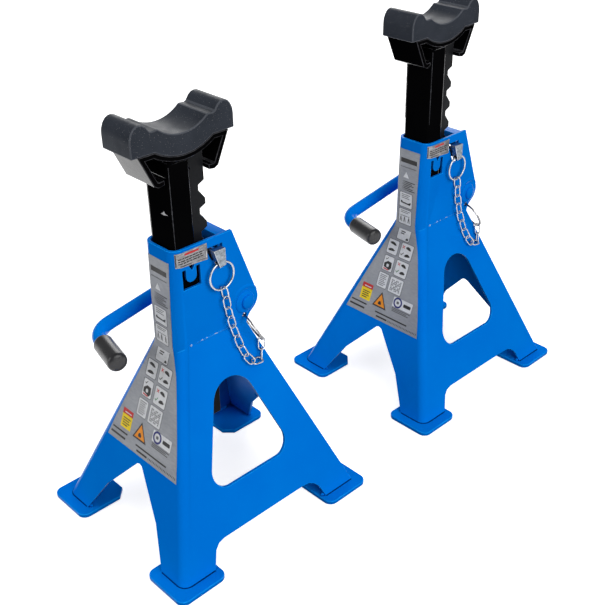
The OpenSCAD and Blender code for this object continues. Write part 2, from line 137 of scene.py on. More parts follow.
class Look:
    """A node material that is put together step by step."""

    def __init__(self, name, **bsdf):
        self.mat = bpy.data.materials.new(name)
        self.mat.use_nodes = True
        self.nodes = self.mat.node_tree.nodes
        self.links = self.mat.node_tree.links
        self.out = next(n for n in self.nodes if n.type == "BSDF_PRINCIPLED")
        for key, value in bsdf.items():
            self.out.inputs[key.replace("_", " ")].default_value = value
        self.where = self.nodes.new("ShaderNodeTexCoord").outputs["Object"]

    def put(self, kind, inputs=None, **props):
        node = self.nodes.new(kind)
        for key, value in props.items():
            setattr(node, key, value)
        for key, value in (inputs or {}).items():
            if isinstance(value, bpy.types.NodeSocket):
                self.links.new(value, node.inputs[key])
            else:
                node.inputs[key].default_value = value
        return node

    def noise(self, scale, detail=3.0, rough=0.55, stretch=None, distort=0.0):
        where = self.where
        if stretch:
            where = self.put("ShaderNodeMapping", {0: where, 3: stretch}).outputs[0]
        made = self.put(
            "ShaderNodeTexNoise",
            {"Vector": where, "Scale": scale, "Detail": detail, "Roughness": rough, "Distortion": distort},
        )
        return made.outputs[0]

    def span(self, value, lo, hi, to_lo, to_hi):
        return self.put("ShaderNodeMapRange", {0: value, 1: lo, 2: hi, 3: to_lo, 4: to_hi}).outputs[0]

    def mix(self, share, a, b, blend="MIX"):
        node = self.put("ShaderNodeMix", data_type="RGBA", blend_type=blend)
        for index, value in ((0, share), (6, a), (7, b)):
            if isinstance(value, bpy.types.NodeSocket):
                self.links.new(value, node.inputs[index])
            else:
                node.inputs[index].default_value = value
        return node.outputs[2]

    def maths(self, what, a, b):
        return self.put("ShaderNodeMath", {0: a, 1: b}, operation=what).outputs[0]

    def edge(self):
        return self.put("ShaderNodeAttribute", attribute_name=EDGE_LAYER).outputs["Fac"]

    def crevice(self, distance):
        return self.put("ShaderNodeAmbientOcclusion", {"Distance": distance}, samples=4).outputs["AO"]

    def bump(self, steps):
        normal = None
        for height, strength, distance in steps:
            inputs = {"Height": height, "Strength": strength, "Distance": distance}
            if normal:
                inputs["Normal"] = normal
            normal = self.put("ShaderNodeBump", inputs).outputs[0]
        self.links.new(normal, self.out.inputs["Normal"])

    def feed(self, **sockets):
        for key, value in sockets.items():
            self.links.new(value, self.out.inputs[key.replace("_", " ")])
        return self.mat


def paint(name, body, shade, bright, dark, rough, peel=0.45, gloss=(0.0, 0.3), glint=0.8):
    """Sprayed enamel: slow colour drift, orange peel, painted highlight on the edges and painted shade in
    crevices.
    """
    k = Look(name)
    colour = k.mix(k.span(k.noise(14), 0.35, 0.65, 0.0, 1.0), body, shade)
    # painted highlight: the rounded edges are mixed towards the bright colour
    glint_mask = k.maths("MULTIPLY", k.edge(), k.span(k.noise(160, 4), 0.3, 0.62, 0.25 * glint, glint))
    colour = k.mix(glint_mask, colour, bright)
    # painted shade: occlusion darkens the colour in crevices towards the dark colour
    colour = k.mix(k.span(k.crevice(0.005), 0.15, 0.75, 0.9, 0.0), colour, dark)
    polish = k.span(k.noise(55, 5), 0.3, 0.7, rough - 0.05, rough + 0.08)
    grazing = k.put("ShaderNodeLayerWeight", {"Blend": 0.5}).outputs["Facing"]
    k.bump([(k.noise(420, 2), peel, 0.0001), (k.noise(60, 2), 0.35, 0.00025)])
    shine = k.span(grazing, 0.55, 0.9, *gloss)
    return k.feed(Base_Color=colour, Roughness=polish, Specular_IOR_Level=shine)


def rubber(name, body, shade, rough, dust, grain=900, gloss=(0.0, 0.3)):
    """Moulded rubber: fine grain, soft mottling, lighter rounded edges and specks of dust."""
    k = Look(name)
    colour = k.mix(k.span(k.noise(45, 4), 0.3, 0.7, 0.0, 1.0), body, shade)
    colour = k.mix(k.maths("MULTIPLY", k.edge(), 0.35), colour, tone(112, 115, 122))
    specks = k.span(k.noise(2200, 0, 0.5), 0.79, 0.84, 0.0, dust)
    colour = k.mix(specks, colour, tone(205, 205, 205))
    polish = k.span(k.noise(90, 4), 0.3, 0.7, rough - 0.06, rough + 0.08)
    grazing = k.put("ShaderNodeLayerWeight", {"Blend": 0.5}).outputs["Facing"]
    k.bump([(k.noise(grain, 2), 0.35, 0.00012), (k.noise(130, 3), 0.3, 0.0002)])
    shine = k.span(grazing, 0.42, 0.72, *gloss)
    return k.feed(Base_Color=colour, Roughness=polish, Specular_IOR_Level=shine)


def metal(name, body, shade, rough, scale=700, stretch=None, depth=0.00008, metallic=1.0):
    """Plated or bare metal with fine drawn or cast unevenness, and a painted highlight on rounded edges."""
    k = Look(name, Metallic=metallic)
    grain = k.noise(scale, 5, 0.6, stretch)
    colour = k.mix(k.span(grain, 0.3, 0.7, 0.0, 1.0), body, shade)
    # painted highlight: the rounded edges are mixed towards near white
    colour = k.mix(k.maths("MULTIPLY", k.edge(), 0.4), colour, tone(240, 240, 242))
    polish = k.span(k.noise(scale / 3, 4), 0.3, 0.7, rough - 0.08, rough + 0.14)
    k.bump([(grain, 0.5, depth)])
    return k.feed(Base_Color=colour, Roughness=polish)


def ink(name, colour):
    """Print on the labels: satin, with a faint screen texture."""
    k = Look(name, Specular_IOR_Level=0.35)
    shade = tuple(c * 0.86 for c in colour[:3]) + (1.0,)
    mixed = k.mix(k.span(k.noise(260, 3), 0.35, 0.65, 0.0, 1.0), colour, shade)
    k.bump([(k.noise(1800, 1), 0.2, 0.00003)])
    return k.feed(Base_Color=mixed, Roughness=k.span(k.noise(90), 0.3, 0.7, 0.45, 0.58))


BLUE = paint("blue_enamel", tone(0, 125, 229), tone(0, 118, 224), tone(20, 150, 245), tone(0, 52, 140), 0.3)
# painted highlight: the lighter blue of the fold's ridge
RIDGE_GLINT = paint(
    "ridge_glint_enamel", tone(40, 150, 240), tone(0, 104, 205), tone(140, 200, 245), tone(0, 40, 110), 0.35
)
# painted shade: a darker blue for the inner faces of the hood
HOOD_SHADE = paint("hood_inside_shade", tone(0, 92, 186), tone(0, 78, 168), tone(0, 110, 200), tone(0, 30, 90), 0.45)
# painted shade: the dark line where the legs stand on the foot plates
FOOT_SHADE = paint("foot_shade_enamel", tone(0, 52, 128), tone(0, 36, 96), tone(0, 74, 160), tone(0, 20, 64), 0.5)
# chipped enamel and painted highlight: the light spots on the fold's ridge
CHIP_AND_GLINT = paint(
    "chip_and_glint_enamel", tone(176, 208, 240), tone(120, 170, 225), tone(230, 240, 250), tone(60, 110, 180), 0.4
)
BLACK = paint(
    "black_enamel", tone(5, 5, 6), tone(8, 8, 9), tone(74, 74, 78), tone(1, 1, 2), 0.16, 0.6, (0.0, 1.0), 0.9
)
# painted highlight: the lighter grey of the lines down the tube's front corners
CORNER_GLINT = paint(
    "corner_glint_enamel", tone(74, 75, 80), tone(30, 30, 33), tone(120, 120, 124), tone(8, 8, 9),
    0.35, 0.8, (0.1, 0.8),
)
# painted sheen: the rack's black enamel is coloured greyer than the post's
RACK_BLACK = paint(
    "black_rack", tone(27, 28, 31), tone(18, 19, 21), tone(70, 70, 74), tone(4, 4, 5), 0.42, 0.8, (0.06, 0.5)
)
BARE_STEEL = metal("bare_steel", tone(150, 150, 152), tone(96, 96, 98), 0.4)
PAWL_BLACK = metal("oiled_steel", tone(60, 60, 62), tone(42, 42, 45), 0.45)
PAD = rubber("slate_rubber", tone(59, 63, 71), tone(51, 55, 62), 0.5, 0.45)
GRIP = rubber("black_sleeve", tone(30, 30, 33), tone(22, 22, 25), 0.3, 0.1, 600, (0.45, 1.0))
ZINC = metal("rough_zinc", tone(150, 158, 166), tone(88, 94, 100), 0.36, 420, depth=0.0003)
CHAIN = metal("bright_zinc", tone(206, 208, 210), tone(160, 162, 164), 0.2, 500)
WIRE = metal("ring_steel", tone(196, 199, 203), tone(146, 149, 153), 0.2, 600, (1, 1, 5))
SPRING = metal("spring_wire", tone(160, 160, 162), tone(112, 110, 108), 0.3, 600)
FOIL = metal("silver_foil", tone(150, 150, 154), tone(96, 94, 94), 0.4, 300, (1, 1, 6), 0.00003)
PLATE = metal("label_foil", tone(146, 149, 155), tone(132, 135, 141), 0.5, 220, (1, 1, 4), 0.00002, 0.35)
INKS = [
    ink("white_ink", tone(226, 228, 232)),
    ink("black_ink", tone(14, 14, 16)),
    ink("grey_ink", tone(92, 95, 100)),
    ink("red_ink", tone(200, 36, 40)),
    ink("green_ink", tone(20, 120, 60)),
    ink("yellow_ink", tone(252, 218, 10)),
    ink("orange_ink", tone(246, 148, 20)),
    ink("navy_ink", tone(30, 34, 110)),
]
WHITE, DARK, GREY, RED, GREEN, YELLOW, ORANGE, NAVY = range(len(INKS))


# ---------------------------------------------------------------- mesh tools


def finish_mesh(name, mesh, materials, body, smooth=38.0, replaces=()):
    """Makes an object of a mesh, shades it and hangs it on its CAD body."""
    for material in materials:
        mesh.materials.append(material)
    mesh.shade_smooth()
    mesh.set_sharp_from_angle(angle=math.radians(smooth))
    piece = bpy.data.objects.new(name, mesh)
    bpy.context.scene.collection.objects.link(piece)
    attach(piece, body)
    if replaces:
        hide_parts(*replaces)
    return piece


def shade_hood_inside(bm, low, high):
    """Gives the inner faces of the leg panels, below the folds, the second material: a darker blue, painted
    shade inside the hood.
    """
    steep = 0.85
    near = 8.0 * MM
    for face in bm.faces:
        at = face.calc_center_median() - (low + high) / 2
        z = face.calc_center_median().z
        if z > 150 * MM:
            continue
        front = -(COLUMN_FRONT + (CREASE - z / MM) * math.tan(FRONT_LEAN)) * MM
        faces_in = face.normal.x * at.x < 0 and abs(face.normal.x) > steep
        faces_back = face.normal.y > steep and abs(at.y - front) < near
        if faces_in or faces_back:
            face.material_index = 1


def refined(stand, part, material, body, width, segments=2, weld=2e-6, inside_shade=None):
    """The CAD node's shape with rounded edges; marks the rounded strips, which the materials paint lighter.
    """
    sharp_from = math.radians(28)
    bm = bmesh.new()
    bm.from_mesh(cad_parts[f"{stand}_{part}"].data)
    bmesh.ops.remove_doubles(bm, verts=bm.verts, dist=weld)
    bmesh.ops.dissolve_limit(
        bm, angle_limit=0.02, use_dissolve_boundaries=False,
        verts=bm.verts, edges=bm.edges, delimit={"NORMAL"},
    )
    layer = bm.faces.layers.float.new(EDGE_LAYER)
    sharp = [e for e in bm.edges if len(e.link_faces) == 2 and e.calc_face_angle() > sharp_from]
    rounded = bmesh.ops.bevel(
        bm, geom=sharp, offset=width * MM, offset_type="OFFSET", segments=segments, profile=0.5,
        affect="EDGES", clamp_overlap=False,
    )
    for face in rounded["faces"]:
        face[layer] = 1.0
    if inside_shade:
        shade_hood_inside(bm, *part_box(f"{stand}_{part}"))
    mesh = bpy.data.meshes.new(f"{stand}_{part}_skin")
    bm.to_mesh(mesh)
    bm.free()
    materials = [material, inside_shade] if inside_shade else [material]
    piece = finish_mesh(
        mesh.name, mesh, materials, f"{stand}_{body}", 40.0, [f"{stand}_{part}"]
    )
    flat = piece.modifiers.new("flat", "WEIGHTED_NORMAL")
    flat.keep_sharp = True


def sweep(points, section, closed=False, scale=None, up=(0, 0, 1)):
    """Verts and faces of a section, given as (side, up) offsets, carried along points."""
    points = np.asarray(points, float)
    count = len(points)
    if closed:
        ahead = np.roll(points, -1, 0) - np.roll(points, 1, 0)
    else:
        ahead = np.gradient(points, axis=0)
    ahead = ahead / np.linalg.norm(ahead, axis=1)[:, None]
    normal = unit(np.cross(np.cross(ahead[0], up), ahead[0]))
    rings = []
    for i in range(count):
        normal = unit(normal - ahead[i] * (normal @ ahead[i]))
        side = np.cross(ahead[i], normal)
        size = 1.0 if scale is None else scale[i]
        rings.append([points[i] + size * (a * side + b * normal) for a, b in section])
    verts = [tuple(p) for ring in rings for p in ring]
    n = len(section)
    faces = []
    for i in range(count if closed else count - 1):
        j = (i + 1) % count
        for a in range(n):
            b = (a + 1) % n
            faces.append((i * n + a, i * n + b, j * n + b, j * n + a))
    if not closed:
        faces.append(tuple(range(n))[::-1])
        faces.append(tuple((count - 1) * n + a for a in range(n)))
    return verts, faces


def circle(sides):
    """Angles all the way round."""
    return [2 * math.pi * i / sides for i in range(sides)]


def disc(radius, sides, flat=1.0):
    """A round or flattened section for sweep."""
    return [(radius * math.cos(t), flat * radius * math.sin(t)) for t in circle(sides)]


def turned_faces(rings, sides):
    """Faces of a turned body: its rings joined up, and a cap at each end."""
    faces = [
        (i * sides + a, i * sides + (a + 1) % sides, (i + 1) * sides + (a + 1) % sides, (i + 1) * sides + a)
        for i in range(rings - 1)
        for a in range(sides)
    ]
    last = (rings - 1) * sides
    return faces + [tuple(range(sides))[::-1], tuple(range(last, last + sides))]


class Stand:
    """Where one stand is, and helpers that build its pieces in its own millimetres."""

    def __init__(self, name):
        self.name = name
        low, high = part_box(f"{name}_foot_fl")[0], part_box(f"{name}_foot_rr")[1]
        self.middle = Vector(((low.x + high.x) / 2, (low.y + high.y) / 2, low.z))
        self.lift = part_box(f"{name}_post")[1].z / MM - POST_TOP

    def mesh(self, name, parts, lift=0.0):
        """One mesh of all parts, each (verts, faces, material index)."""
        verts, faces, marks = [], [], []
        for part_verts, part_faces, mark in parts:
            base = len(verts)
            verts += [
                (
                    self.middle.x + v[0] * MM,
                    self.middle.y + v[1] * MM,
                    self.middle.z + (v[2] + lift) * MM,
                )
                for v in part_verts
            ]
            faces += [tuple(base + i for i in f) for f in part_faces]
            marks += [mark] * len(part_faces)
        mesh = bpy.data.meshes.new(f"{self.name}_{name}")
        mesh.from_pydata(verts, [], faces)
        mesh.validate()
        mesh.polygons.foreach_set("material_index", marks)
        bm = bmesh.new()
        bm.from_mesh(mesh)
        bmesh.ops.recalc_face_normals(bm, faces=bm.faces)
        bm.to_mesh(mesh)
        bm.free()
        return mesh

    def piece(self, name, parts, materials, body, slot, lift=0.0, smooth=38.0, replaces=()):
        finish_mesh(
            f"{self.name}_{name}",
            self.mesh(name, parts, lift),
            materials,
            f"{self.name}_{body}",
            smooth,
            [f"{self.name}_{r}" for r in replaces],
        )


def rounded_path(corners, radius, step=7.0):
    """Points along a polyline whose inner corners are rounded."""
    corners = [np.asarray(c, float) for c in corners]
    points = [corners[0]]
    for before, corner, after in zip(corners, corners[1:], corners[2:]):
        a, b = unit(corner - before), unit(after - corner)
        turn = math.acos(float(a @ b))
        reach = radius * math.tan(turn / 2)
        centre = corner + unit(b - a) * radius / math.cos(turn / 2)
        start = corner - a * reach
        x, y = unit(start - centre), a
        steps = max(3, round(math.degrees(turn) / step))
        for i in range(steps + 1):
            t = turn * i / steps
            points.append(centre + radius * (math.cos(t) * x + math.sin(t) * y))
    points.append(corners[-1])
    return points


# ---------------------------------------------------------------- pieces


def lever(s):
    """The bent rod, with a chamfered shaft end."""
    path = rounded_path(ROD, ROD_BEND)
    first = path[0]
    inwards = unit(path[1] - first)
    path = [first, first + inwards * 0.35, first + inwards * 0.9] + path[1:]
    scale = [0.86, 0.96, 1.0] + [1.0] * (len(path) - 3)
    verts, faces = sweep(path, disc(ROD_R, 32), scale=scale)
    s.piece("lever_rod", [(verts, faces, 0)], [BLUE], "lever_arm", "frame_blue", replaces=["lever"])


def grip(s):
    """The rubber sleeve: a lip at its mouth and a dipped, rounded end."""
    low, tip = np.array(ROD[2], float), np.array(ROD[3], float)
    along = unit(tip - low)
    start = low + 17.8 * along
    length = float(np.linalg.norm(tip - start)) + 2.2
    profile = [
        (0.0, 5.75), (0.0, 6.9), (0.25, 7.25), (0.8, 7.42), (1.6, 7.46), (2.4, 7.4), (8.0, 7.45),
        (length - 7.0, 7.5), (length - 3.6, 7.48), (length - 2.7, 7.36), (length - 1.9, 7.02),
        (length - 1.2, 6.4), (length - 0.65, 5.5), (length - 0.3, 4.3), (length - 0.08, 2.6),
        (length - 0.02, 1.1),
    ]
    side = unit(np.cross(along, (0, 0, 1)))
    up = np.cross(side, along)
    sides = 48
    verts = [
        tuple(start + at * along + r * (math.cos(t) * side + math.sin(t) * up))
        for at, r in profile
        for t in circle(sides)
    ]
    faces = turned_faces(len(profile), sides)
    s.piece("grip_sleeve", [(verts, faces, 0)], [GRIP], "lever_arm", "grip_rubber", replaces=["grip"])


def key_ring(s):
    """A bent wire ring whose two ends meet at the bottom."""
    points, scale = [], []
    count = 96
    for i in range(count + 1):
        t = -math.pi / 2 + 0.012 + (2 * math.pi - 0.024) * i / count
        points.append((RING_MID[0], RING_MID[1] + RING_R * math.cos(t), RING_MID[2] + RING_R * math.sin(t)))
        scale.append(0.82 if i in (0, count) else 1.0)
    verts, faces = sweep(points, disc(RING_WIRE, 16), scale=scale, up=(1, 0, 0))
    s.piece("key_ring_wire", [(verts, faces, 0)], [WIRE], "safety_key", "ring_steel", replaces=["key_ring"])


def link_path(a, b, roll):
    """Centre line of an oval link that hangs from a to b, and its flat side's direction."""
    a, b = np.asarray(a, float), np.asarray(b, float)
    along = unit(b - a)
    half = np.linalg.norm(b - a) / 2 + LINK_WIRE + 0.3 - LINK_R
    ex = unit(np.cross(along, (1, 0, 0)))
    ey = np.cross(along, ex)
    out = math.cos(roll) * ex + math.sin(roll) * ey
    centre = (a + b) / 2
    points = []
    for sign in (1, -1):
        for i in range(13):
            t = math.pi * i / 12
            side, ahead = LINK_R * math.cos(t), half + LINK_R * math.sin(t)
            points.append(centre + sign * (side * out + ahead * along))
        for share in (0.5, 0.0, -0.5):
            points.append(centre + sign * (-LINK_R * out + share * half * along))
    return points, np.cross(along, out)


def chain(s):
    """Eleven welded oval links; the weld shows as a small swelling on one side."""
    parts = []
    for a, b, roll in zip(CHAIN_JOINTS, CHAIN_JOINTS[1:], CHAIN_ROLLS):
        points, up = link_path(a, b, math.radians(roll))
        scale = [1.0] * len(points)
        scale[14] = 1.16
        verts, faces = sweep(points, disc(LINK_WIRE, 12), closed=True, scale=scale, up=up)
        parts.append((verts, faces, 0))
    mesh = s.mesh("chain_links", parts)
    mesh.materials.append(CHAIN)
    mesh.shade_smooth()
    piece = bpy.data.objects.new(mesh.name, mesh)
    bpy.context.scene.collection.objects.link(piece)
    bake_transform(piece)
    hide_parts(f"{s.name}_chain")


def split_ring(s):
    """Flat wire wound twice, with a crossing step between the turns."""
    w = unit(SPLIT_W - SPLIT_U * (SPLIT_W @ SPLIT_U))
    axis = np.cross(SPLIT_U, w)
    centre = SPLIT_HOLE + SPLIT_R * SPLIT_U
    points = []
    count = 160
    for i in range(count + 1):
        share = i / count
        t = 4 * math.pi * share + 2.1
        step = min(1.0, max(0.0, (share - 0.44) / 0.12))
        across = (step * step * (3 - 2 * step) - 0.5) * 0.76
        points.append(centre + SPLIT_R * (math.cos(t) * SPLIT_U + math.sin(t) * w) + across * axis)
    half = [(-0.34, -0.62), (0.34, -0.62), (0.37, -0.5), (0.37, 0.5)]
    section = half + [(-a, -b) for a, b in half]
    verts, faces = sweep(points, section, up=unit(points[0] - centre))
    coil = [(verts, faces, 0)]
    s.piece("split_ring_coil", coil, [SPRING], "frame", "ring_steel", smooth=50, replaces=["split_ring"])


def bead(points, radius, seed, up=(0, 0, 1)):
    """A weld bead: a rippled rope that tapers at both ends."""
    ripple = 1.5
    points = [np.asarray(p, float) for p in points]
    lengths = np.cumsum([0.0] + [float(np.linalg.norm(b - a)) for a, b in zip(points, points[1:])])
    steps = max(8, int(lengths[-1] / 0.45))
    at = np.linspace(0, lengths[-1], steps)
    coords = np.array(points)
    line = np.column_stack([np.interp(at, lengths, coords[:, k]) for k in range(3)])
    scale = []
    for i, d in enumerate(at):
        wave = 0.12 * abs(math.sin(math.pi * d / ripple)) + 0.16 * noise.noise(Vector((d * 0.35, seed, 0.0)))
        taper = min(1.0, 0.25 + min(d, lengths[-1] - d) / (1.6 * radius))
        scale.append((0.92 + wave) * taper)
    return sweep(line, disc(radius, 10), scale=scale, up=up)


def foot_shade_line(sx, sy, reach):
    """A dark line of painted shade where a leg stands on its foot plate, round the corner on the front legs.
    """
    z = FOOT_T + 0.15
    bend = BEND_R if sy < 0 else 1.0
    shade_line = [(sx * (LEG_X + 0.05), sy * v, z) for v in (57.8, 64, 71, reach - bend)]
    if sy < 0:
        for i in range(1, 8):
            t = math.pi / 2 * i / 8
            x, y = LEG_X - bend + bend * math.cos(t), reach - bend + bend * math.sin(t)
            shade_line.append((sx * x, sy * y, z))
        shade_line += [(sx * x, sy * (reach + 0.05), z) for x in (LEG_X - bend, 62, 56, 50)]
    return sweep(shade_line, disc(0.5, 8))


def frame_welds(s):
    """Beads inside the legs on the foot plates and along the rear plate, and the painted shade lines at the
    feet.
    """
    inner = 3.0
    on_plate = FOOT_T + 0.7
    parts = []
    for sx in (-1, 1):
        for sy, reach in ((-1, LEG_FRONT), (1, LEG_REAR)):
            path = [
                (sx * (LEG_X - inner), sy * (reach - 33), on_plate),
                (sx * (LEG_X - inner), sy * (reach - 9), on_plate),
                (sx * (LEG_X - inner - 6), sy * (reach - inner), on_plate),
                (sx * (LEG_X - 30), sy * (reach - inner), on_plate),
            ]
            if sy > 0:
                path = path[:2]
            verts, faces = bead(path, 1.5, sx * 3 + sy)
            parts.append((verts, faces, 0))
            verts, faces = foot_shade_line(sx, sy, reach)
            parts.append((verts, faces, 1))
        path = [
            (
                sx * (LEG_X - (z - FOOT_T) * math.tan(SIDE_LEAN) - inner),
                LEG_REAR - (z - FOOT_T) * REAR_RUN - 2.9,
                z,
            )
            for z in np.linspace(18, 120, 12)
        ]
        verts, faces = bead(path, 1.3, 9 + sx, up=(0, 1, 0))
        parts.append((verts, faces, 0))
    s.piece("frame_welds", parts, [BLUE, FOOT_SHADE], "frame", "frame_blue", smooth=60)


# light spots on the fold's ridge, chipped enamel and painted highlight: place, half length, radius
RIDGE_SPOTS = [(-19.7, 0.9, 0.85), (-9.5, 1.3, 0.45), (-5.2, 0.8, 0.4), (3.4, 1.7, 0.4), (20.5, 2.4, 0.6)]


def ridge(sx):
    """The cracked line of enamel along a side fold, in a lighter blue that paints its highlight."""
    count = 60
    path = [
        (sx * (COLUMN_X - 0.02), y, CREASE + 0.12 * math.sin(y)) for y in np.linspace(-17, 27, count)
    ]
    scale = []
    for i in range(count):
        rough = abs(noise.noise(Vector((i * 0.9, sx, 3.0))))
        scale.append(min(1.0, 0.2 + min(i, count - 1 - i) / 8) * (0.55 + 1.1 * rough))
    return sweep(path, disc(0.75, 10), scale=scale, up=(1, 0, 0))


def ridge_spot(sx, index):
    """One light spot on the ridge, drawn out along it."""
    y, half, radius = RIDGE_SPOTS[index]
    along = np.linspace(-1, 1, 7)
    path = [
        (sx * (COLUMN_X + 0.25), y + half * t, CREASE + 0.5 + 0.2 * math.sin(4 * t + index)) for t in along
    ]
    scale = [math.sqrt(max(0.05, 1 - t * t)) for t in along]
    return sweep(path, disc(radius, 10), scale=scale, up=(1, 0, 0))


def pressed_arc(sx):
    """The raised arc above the hub."""
    radius = 11.6
    count = 36
    arc, scale = [], []
    for i in range(count):
        t = math.radians(28 + 150 * i / (count - 1))
        y, z = PIVOT[0] + radius * math.cos(t), PIVOT[1] + 0.6 + radius * math.sin(t)
        arc.append((sx * (COLUMN_X - 0.35), y, z))
        scale.append(math.sin(math.pi * (i + 0.6) / (count + 0.2)) ** 0.5)
    return sweep(arc, disc(2.1, 14, 0.36), scale=scale, up=(1, 0, 0))


def hub(sx):
    """The round boss over the lever's shaft, a little nearer the front than the shaft."""
    sides = 48
    rings = [(9.0, -0.2), (8.9, 0.25), (8.5, 0.75), (7.9, 0.98), (5.0, 1.05)]
    verts = [
        (sx * (COLUMN_X + out), PIVOT[0] - 1.6 + r * math.cos(t), PIVOT[1] + r * math.sin(t))
        for r, out in rings
        for t in circle(sides)
    ]
    return verts, turned_faces(len(rings), sides)


def pressed_marks(s):
    """The ridge, painted lighter as its highlight, with its light spots at each side fold, and the pressed
    arc and hub at the pivot.
    """
    parts = []
    for sx in (-1, 1):
        parts.append((*ridge(sx), 1))
        parts += [(*ridge_spot(sx, index), 2) for index in range(len(RIDGE_SPOTS))]
        parts.append((*pressed_arc(sx), 0))
        parts.append((*hub(sx), 0))
    s.piece("pressed_marks", parts, [BLUE, RIDGE_GLINT, CHIP_AND_GLINT], "frame", "frame_blue", smooth=70)


def ram_welds(s):
    """Weld between head and tube, and down both sides of the rack."""
    parts = []
    for sx in (-1, 1):
        path = [(sx * (POST_X - 0.6), y, POST_TOP - 0.1) for y in np.linspace(-23, -6, 8)]
        verts, faces = bead(path, 1.5, 20 + sx)
        parts.append((verts, faces, 0))
        for low, high in ((232, 262), (274, 295)):
            path = [(sx * 9.5, -5.7, z) for z in np.linspace(low, high, 10)]
            verts, faces = bead(path, 1.1, 30 + sx + low, up=(0, 1, 0))
            parts.append((verts, faces, 0))
    for y in (-24.2, -5.0):
        path = [(x, y, 286.9) for x in np.linspace(-12.5, 12.5, 10)]
        verts, faces = bead(path, 1.2, 40 + y)
        parts.append((verts, faces, 0))
    s.piece("head_welds", parts, [BLACK], "ram", "post_black", lift=s.lift, smooth=60)


def tube_corner_glints(s):
    """Thin lighter lines down the tube's two front corners: painted highlight."""
    parts = []
    count = 40
    back = POST_ROUND - (POST_ROUND + 0.1) * math.sqrt(0.5)
    for sx in (-1, 1):
        path = [(sx * (POST_X - back), POST_FRONT + back, z) for z in np.linspace(232, 293, count)]
        scale = [0.45 + abs(noise.noise(Vector((sx * 5.0, 1.0, i * 0.35)))) for i in range(count)]
        verts, faces = sweep(path, disc(0.42, 8), scale=scale, up=(1, 0, 0))
        parts.append((verts, faces, 0))
    s.piece("tube_corner_glints", parts, [CORNER_GLINT], "ram", "post_black", lift=s.lift, smooth=60)


def post_chip(s):
    """The spot on the front tube where the enamel is knocked off."""
    outline = [(1.4, 257.3), (4.2, 256.8), (9.4, 257.9), (6.4, 258.4), (5.2, 259.9), (3.4, 258.2)]
    verts, faces = slab(outline, lambda u, v, h: (u, POST_FRONT - h, v), 0.02, 0.12)
    s.piece("post_chip", [(verts, faces, 0)], [BARE_STEEL], "ram", "post_black", smooth=20)


def on_front(u, v, h):
    """Point h above the frame's front; u across, v up, and v along the slope below the fold."""
    flare = 0.3625
    flat = COLUMN_X - BEND_R + max(0.0, CREASE - v) * flare
    beyond = max(0.0, abs(u) - flat)
    turn = beyond / BEND_R
    radius = BEND_R + h
    across = math.copysign(min(abs(u), flat) + radius * math.sin(turn), u)
    back = radius * (1 - math.cos(turn)) - (radius - BEND_R)
    if v >= FRONT_CREASE:
        return (across, -COLUMN_FRONT - (COLUMN_TOP - v) * math.tan(COLUMN_LEAN) + back, v)
    down = CREASE - v
    c, k = math.cos(FRONT_LEAN), math.sin(FRONT_LEAN)
    return (across, -COLUMN_FRONT - down * k + back * c, CREASE - down * c - back * k)


def label_slide(s, v):
    """How far the label is slid sideways at height v."""
    return LABEL_SHIFT[s.name] * max(0.0, (v - 150) / 75)


def label_plate(s):
    """The grey label, wrapped round the column's corners and down the front."""
    columns = 28
    rows = []
    for v, left, right in LABEL_EDGES:
        slide = label_slide(s, v)
        rows.append([(left + slide + (right - left) * i / columns, v) for i in range(columns + 1)])
    verts, faces = [], []
    for h in (0.06, 0.3):
        verts += [on_front(u, v, h) for row in rows for u, v in row]
    n, m = columns + 1, len(rows)
    for i in range(m - 1):
        for j in range(columns):
            a = i * n + j
            faces.append((a + n * m, a + 1 + n * m, a + n + 1 + n * m, a + n + n * m))
            faces.append((a, a + n, a + n + 1, a + 1))
    rim = (
        list(range(n))
        + [i * n + columns for i in range(1, m)]
        + [(m - 1) * n + j for j in range(columns - 1, -1, -1)]
        + [i * n for i in range(m - 2, 0, -1)]
    )
    for a, b in zip(rim, rim[1:] + rim[:1]):
        faces.append((a, b, b + n * m, a + n * m))
    plate = [(verts, faces, 0)]
    s.piece("label_plate", plate, [PLATE], "frame", "label_grey", smooth=30, replaces=["label"])


def slab(outline, surface, low, high):
    """A closed thin slab over a 2D outline, laid on a surface."""
    n = len(outline)
    verts = [surface(u, v, low) for u, v in outline] + [surface(u, v, high) for u, v in outline]
    faces = [tuple(range(n))[::-1], tuple(range(n, 2 * n))]
    faces += [(i, (i + 1) % n, n + (i + 1) % n, n + i) for i in range(n)]
    return verts, faces


def sheet(cuts, surface, low, high):
    """A closed thin sheet between two edges; cuts are (u, v of lower edge, v of upper edge)."""
    verts, faces = [], []
    for u, v0, v1 in cuts:
        verts += [surface(u, v0, low), surface(u, v1, low), surface(u, v1, high), surface(u, v0, high)]
    for k in range(0, 4 * len(cuts) - 4, 4):
        faces += [(k + j, k + (j + 1) % 4, k + 4 + (j + 1) % 4, k + 4 + j) for j in range(4)]
    last = 4 * len(cuts) - 1
    return verts, faces + [(3, 2, 1, 0), (last - 3, last - 2, last - 1, last)]


def divided(outline, longest):
    """The outline with points added, so that no edge is much longer than longest."""
    dense = []
    for (ax, ay), (bx, by) in zip(outline, outline[1:] + outline[:1]):
        pieces = max(1, int(math.hypot(bx - ax, by - ay) / longest))
        dense += [(ax + (bx - ax) * i / pieces, ay + (by - ay) * i / pieces) for i in range(pieces)]
    return dense


def round_box(x0, y0, x1, y1, r=1.1):
    """A box outline with rounded corners."""
    points = []
    corners = ((x1 - r, y0 + r), (x1 - r, y1 - r), (x0 + r, y1 - r), (x0 + r, y0 + r))
    for quarter, (cx, cy) in enumerate(corners):
        for i in range(5):
            t = math.radians(90 * (quarter - 1) + 22.5 * i)
            points.append((cx + r * math.cos(t), cy + r * math.sin(t)))
    return points


